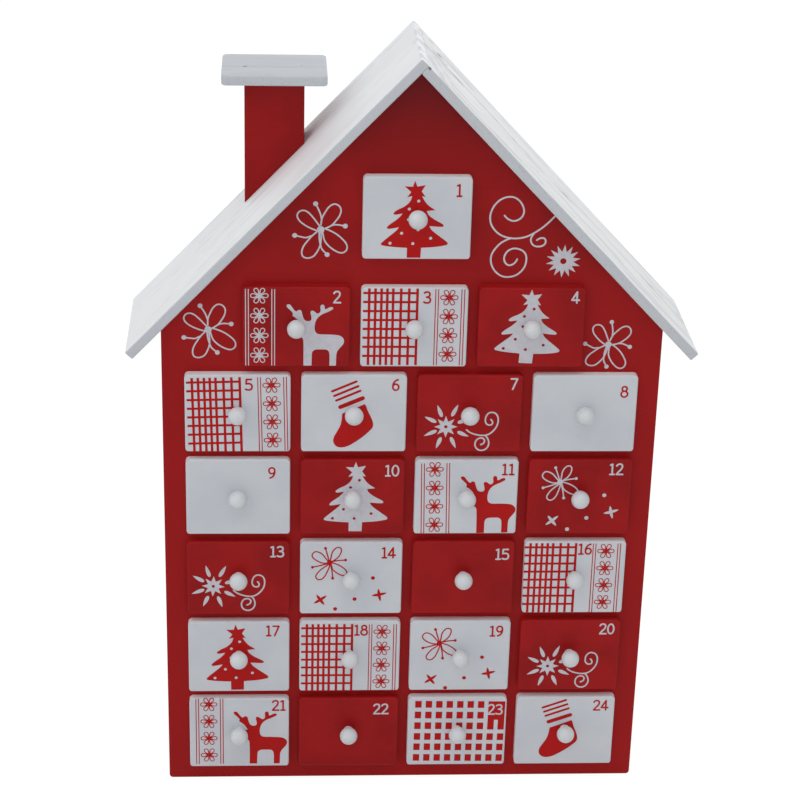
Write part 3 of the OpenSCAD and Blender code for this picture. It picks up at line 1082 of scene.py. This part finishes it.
def makeNail(place, lean):
    bpy.ops.object.select_all(action="DESELECT")
    depth = nailLook["proud"] + nailLook["deep"]
    bpy.ops.mesh.primitive_cylinder_add(vertices=20, radius=nailLook["radius"] * mm, depth=depth * mm)
    nail = bpy.context.object
    bpy.ops.object.mode_set(mode="EDIT")
    bpy.ops.mesh.select_all(action="DESELECT")
    bpy.ops.object.mode_set(mode="OBJECT")
    for face in nail.data.polygons:
        face.select = face.normal.z > 0.9
    bpy.ops.object.mode_set(mode="EDIT")
    bpy.ops.mesh.inset(thickness=nailLook["rim"] * nailLook["radius"] * mm)
    bpy.ops.transform.translate(value=(0, 0, -nailLook["hollow"] * nailLook["proud"] * mm))
    bpy.ops.object.mode_set(mode="OBJECT")
    along = Matrix.Rotation(lean, 4, "Y")
    sunk = along @ Vector((0, 0, (nailLook["proud"] - depth / 2) * mm))
    nail.rotation_euler = (0, lean, 0)
    nail.location = Vector(place) * mm + sunk
    bpy.ops.object.transform_apply(location=True, rotation=True, scale=True)
    return nail


def makeNails():
    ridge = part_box("right_roof_board")[1].z / mm
    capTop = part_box("chimney_cap")[1].z / mm
    nails = []
    for side in (-1, 1):
        for row in nailLook["rows"]:
            for reach in nailLook["fromRidge"]:
                place = (side * reach * math.cos(slope), row, ridge - reach * math.sin(slope))
                nails.append(makeNail(place, side * slope))
    nails += [makeNail((x, y, capTop), 0) for x, y in nailLook["onCap"]]
    bpy.ops.object.select_all(action="DESELECT")
    for nail in nails:
        nail.data.materials.append(capWhite)
        nail.select_set(True)
    bpy.context.view_layer.objects.active = nails[0]
    bpy.ops.object.join()
    piece = bpy.context.object
    piece.name = "roofNails"
    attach(piece, "house")


makeNails()
print("nails set")


# Pale studio: floor and world are white to the camera, and light the house plainly
studioLook = {
    "floor": 12.0,          # metres across
    "drop": 0.2,            # mm under the base
    "floorTint": (0.80, 0.80, 0.80, 1.0),
    "floorRoughness": 0.9,
    "glow": 0.78,           # share of the floor's white that shadows don't touch
    "glowStrength": 1.17,
    "worldLight": 0.48,
    "aim": (0, 0, 0.2),     # that the lamps look at, metres
    "lamps": (              # place in metres, width, watts
        ("overhead", (-0.35, -0.5, 1.9), 1.6, 9.0),
        ("left", (-2.0, -0.9, 1.3), 3.2, 12.0),
        ("front", (0.3, -2.3, 1.0), 1.2, 4.0),
        ("behind", (1.4, 1.2, 1.3), 1.2, 12.0),
    ),
}


def whiteRays(finish):      # 1 for rays that see a backdrop, 0 for rays that carry light
    kinds = ("Is Camera Ray", "Is Glossy Ray", "Is Transmission Ray")
    seen, mirrored, passed = (finish.node("LightPath", {}, {}, kind) for kind in kinds)
    return seen.work("MAXIMUM", seen, seen.work("MAXIMUM", mirrored, passed))


def makeStudio(look):
    bpy.ops.object.select_all(action="DESELECT")
    bpy.ops.mesh.primitive_plane_add(size=look["floor"], location=(0, 0, -look["drop"] * mm))
    floor = bpy.context.object
    floor.name = "floor"
    bpy.ops.object.transform_apply(location=True, rotation=True, scale=True)
    finish = Finish(bpy.data.materials.new("floorWhite"))
    finish.fix("Base Color", look["floorTint"])
    finish.fix("Roughness", look["floorRoughness"])
    glow = finish.node("Emission", {}, {"Color": (1, 1, 1, 1), "Strength": look["glowStrength"]})
    lit = finish.node("MixShader", {}, {
        "Fac": whiteRays(finish) * look["glow"], "Shader": Wire(finish, finish.shader.outputs[0]),
        "Shader_001": glow})
    output = finish.tree.nodes["Material Output"]
    finish.tree.links.new(lit.socket, output.inputs["Surface"])
    floor.data.materials.append(finish.owner)

    scene.world = bpy.data.worlds.new("studio")
    sky = Finish(scene.world, "Background")
    sky.fix("Color", (1, 1, 1, 1))
    sky.feed("Strength", whiteRays(sky) * (1 - look["worldLight"]) + look["worldLight"])

    for name, place, width, watts in look["lamps"]:
        bpy.ops.object.light_add(type="AREA", location=place)
        lamp = bpy.context.object
        lamp.name = name
        lamp.data.size = width
        lamp.data.energy = watts
        aim = Vector(look["aim"]) - Vector(place)
        lamp.rotation_euler = aim.to_track_quat("-Z", "Y").to_euler()
    print("studio lit by", len(look["lamps"]), "lamps")


makeStudio(studioLook)
